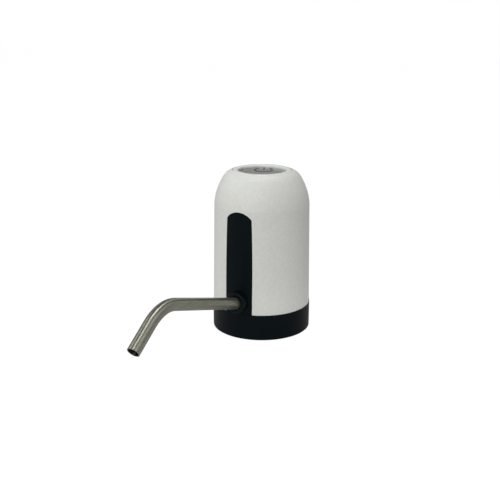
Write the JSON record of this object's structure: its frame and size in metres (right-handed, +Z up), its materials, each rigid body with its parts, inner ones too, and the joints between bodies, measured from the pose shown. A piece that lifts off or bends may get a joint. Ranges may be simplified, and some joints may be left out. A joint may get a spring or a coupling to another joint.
{
  "type": "water jug pump",
  "caption": "Rechargeable pump that pushes onto a large water jug's neck, with a domed shell, a push button on top and a bent swivel spout.",
  "frame": {"origin": "centre of the neck socket's mouth, on the plane that the base rests on", "axes": "+Z up along the body's axis; the spout and the black strip face -Y; the charging socket faces +Y"},
  "size_m": [0.0756, 0.2068, 0.1235],
  "materials": {
    "white_shell": "satin moulded ABS",
    "white_gloss": "polished ABS",
    "black_gloss": "gloss black panel",
    "black_satin": "satin black ABS",
    "button_mirror": "smoked mirror",
    "clear": "clear lamp resin",
    "milky": "milky carrier",
    "rubber": "moulded rubber",
    "silicone": "clear silicone",
    "steel": "plated steel",
    "spout_steel": "polished stainless steel",
    "iron": "laminations and magnets",
    "board": "printed circuit board",
    "wrap": "shrink wrap",
    "lead": "insulated wire"
  },
  "bodies": {
    "housing": {"outer_shell": "white_shell", "front_strip": "black_gloss", "base_housing": "black_satin", "top_bezel": "white_gloss", "spout_collar": "black_satin", "neck_seal": "rubber", "control_board": "board", "control_chips": "black_satin", "lead_sockets": "white_gloss", "lamp_leds": "clear", "board_screws": "steel", "chassis": "white_shell", "case_screws": "steel", "pump_cushion": "rubber", "pump_head": "black_satin", "valve_plate": "black_satin", "diaphragm": "rubber", "crank_case": "black_satin", "motor_screws": "steel", "pump_screws": "steel", "wobble_plate": "white_gloss", "motor_can": "steel", "motor_magnets": "iron", "motor_end_cap": "black_satin", "hose_nipple": "black_satin", "nipple_nut": "black_satin", "inlet_seal": "rubber", "spout_socket": "black_satin", "o_rings": "rubber", "outlet_hose": "silicone", "battery_cell": "wrap", "battery_tabs": "steel", "battery_pads": "rubber", "charge_board": "board", "charge_port": "steel", "motor_leads": "lead", "battery_leads": "lead", "charge_leads": "lead", "switch_body": "black_satin", "return_dome": "rubber"},
    "button": {"power_button": "button_mirror", "button_carrier": "milky"},
    "switch": {"switch_plunger": "white_gloss"},
    "rotor": {"armature": "iron", "motor_shaft": "steel", "eccentric": "black_satin", "crank_pin": "steel"},
    "spout": {"spout_tube": "spout_steel"}
  },
  "joints": [
    {"name": "button_press", "type": "slide", "parent": "housing", "child": "button", "axis": [0, 0, -1], "range_m": [0, 0.0006], "stiffness_N_per_m": 3000, "deforming": ["return_dome"]},
    {"name": "switch_press", "type": "slide", "parent": "housing", "child": "switch", "axis": [0, 0, -1], "range_m": [0, 0.0006]},
    {"name": "spout_swivel", "type": "hinge", "parent": "housing", "child": "spout", "pos_m": [0, -0.04205, 0.0293], "axis": [0, -0.9527, 0.304], "continuous": true},
    {"name": "motor_spin", "type": "hinge", "parent": "housing", "child": "rotor", "pos_m": [0.0065, 0.0035, 0.06], "axis": [0, 0, 1], "continuous": true}
  ],
  "couplings": [
    {"joint": "switch_press", "follows": "button_press", "ratio": 1}
  ]
}
